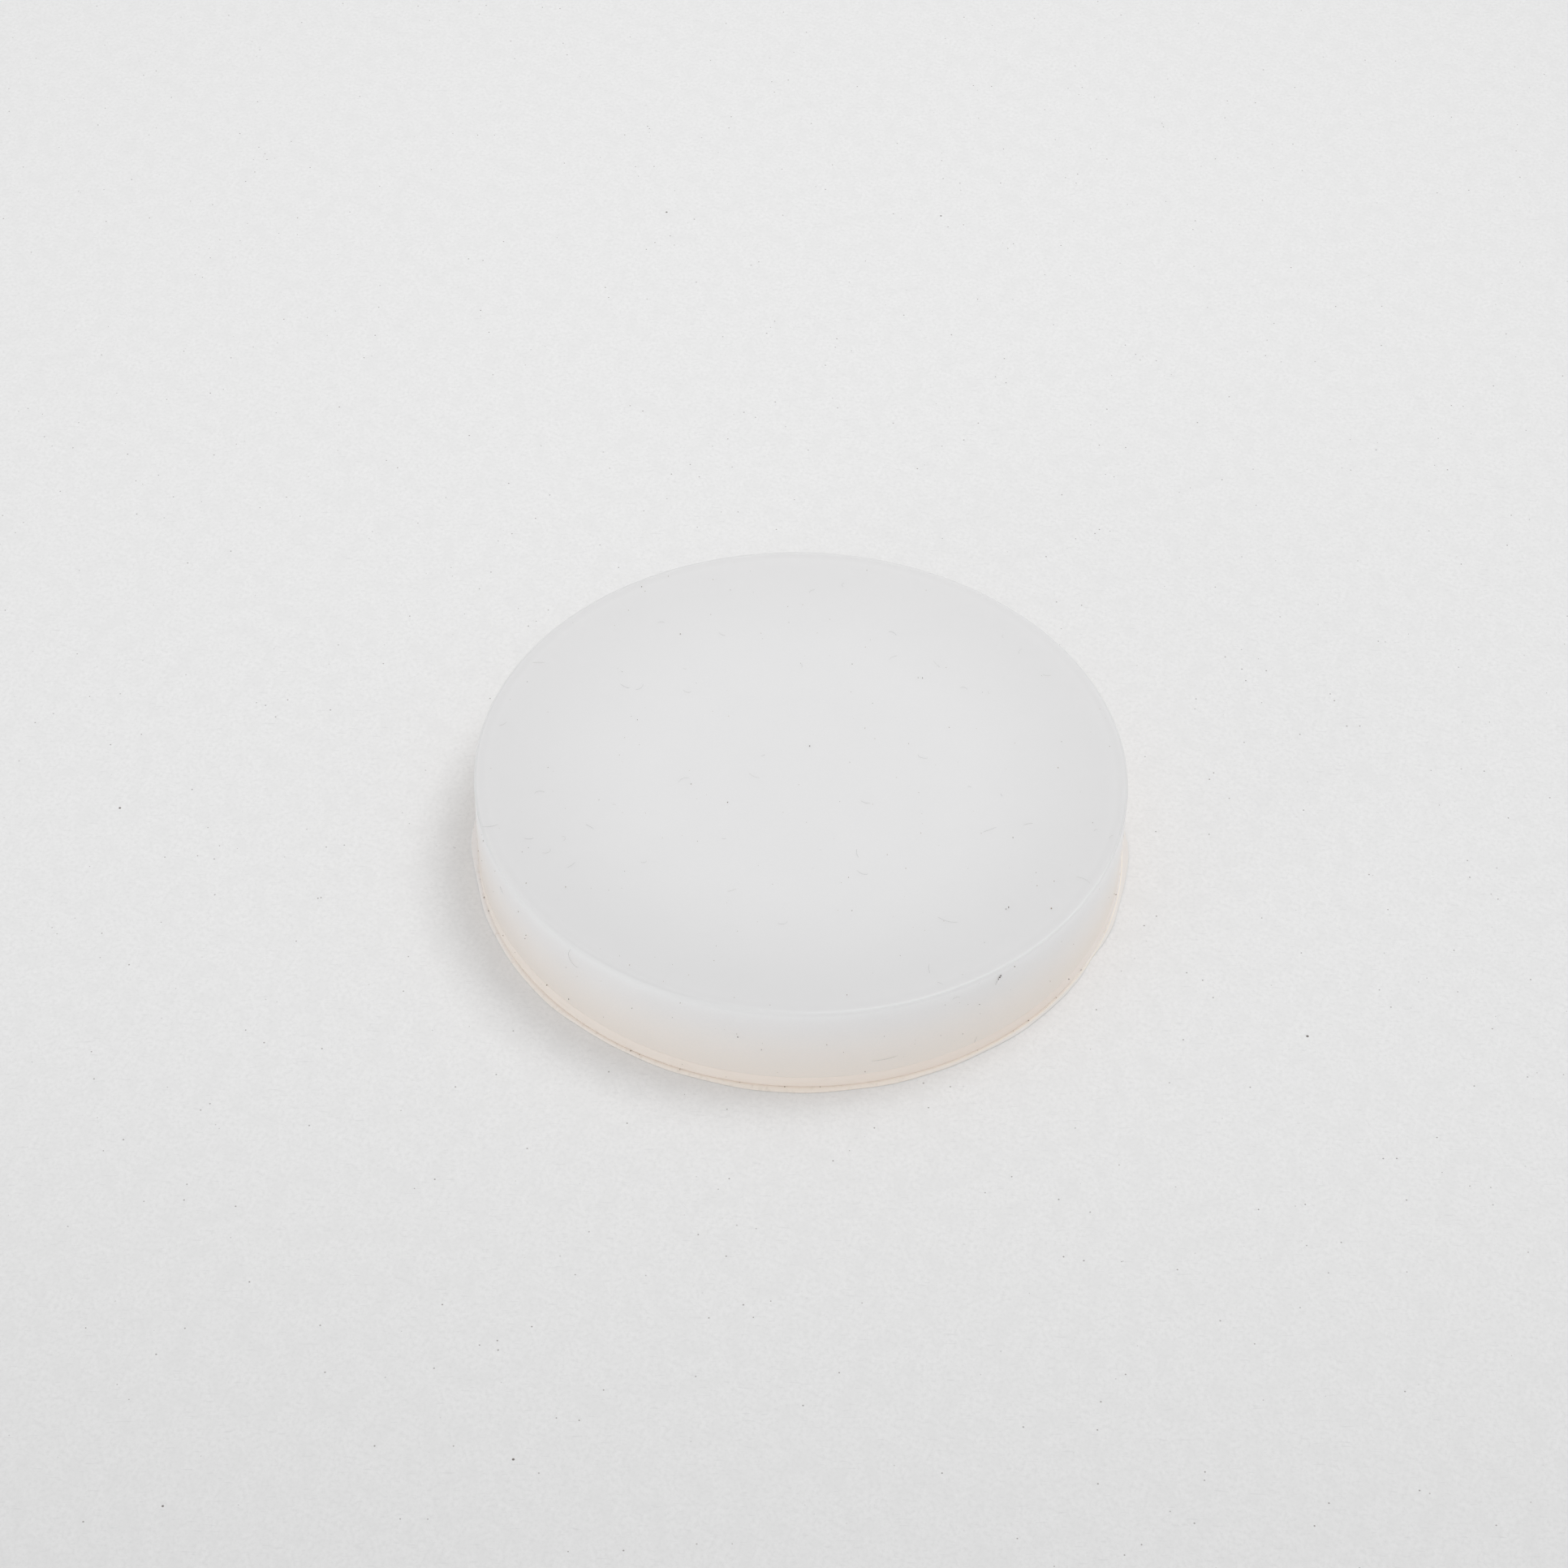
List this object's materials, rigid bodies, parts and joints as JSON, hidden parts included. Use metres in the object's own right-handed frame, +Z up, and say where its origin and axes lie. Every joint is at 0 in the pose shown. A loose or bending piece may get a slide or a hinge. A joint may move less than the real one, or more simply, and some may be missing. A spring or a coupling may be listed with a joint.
{
  "type": "dealer button",
  "caption": "Plain round milky silicone puck with flat faces on a thin, uneven base film, which marks the dealer's seat in a card game.",
  "frame": {"origin": "centre of the underside of the base film, on the table", "axes": "+Z up through the top face, along the axis of the disc; +X and +Y lie in the table and are otherwise free"},
  "size_m": [0.0522, 0.0516, 0.0084],
  "materials": {
    "milky_silicone": "translucent satin",
    "bonding_silicone": "translucent satin",
    "base_film": "semi-gloss"
  },
  "bodies": {
    "root": {"base_film": "base_film", "bonding_layer": "bonding_silicone", "puck_body": "milky_silicone"}
  },
  "joints": []
}
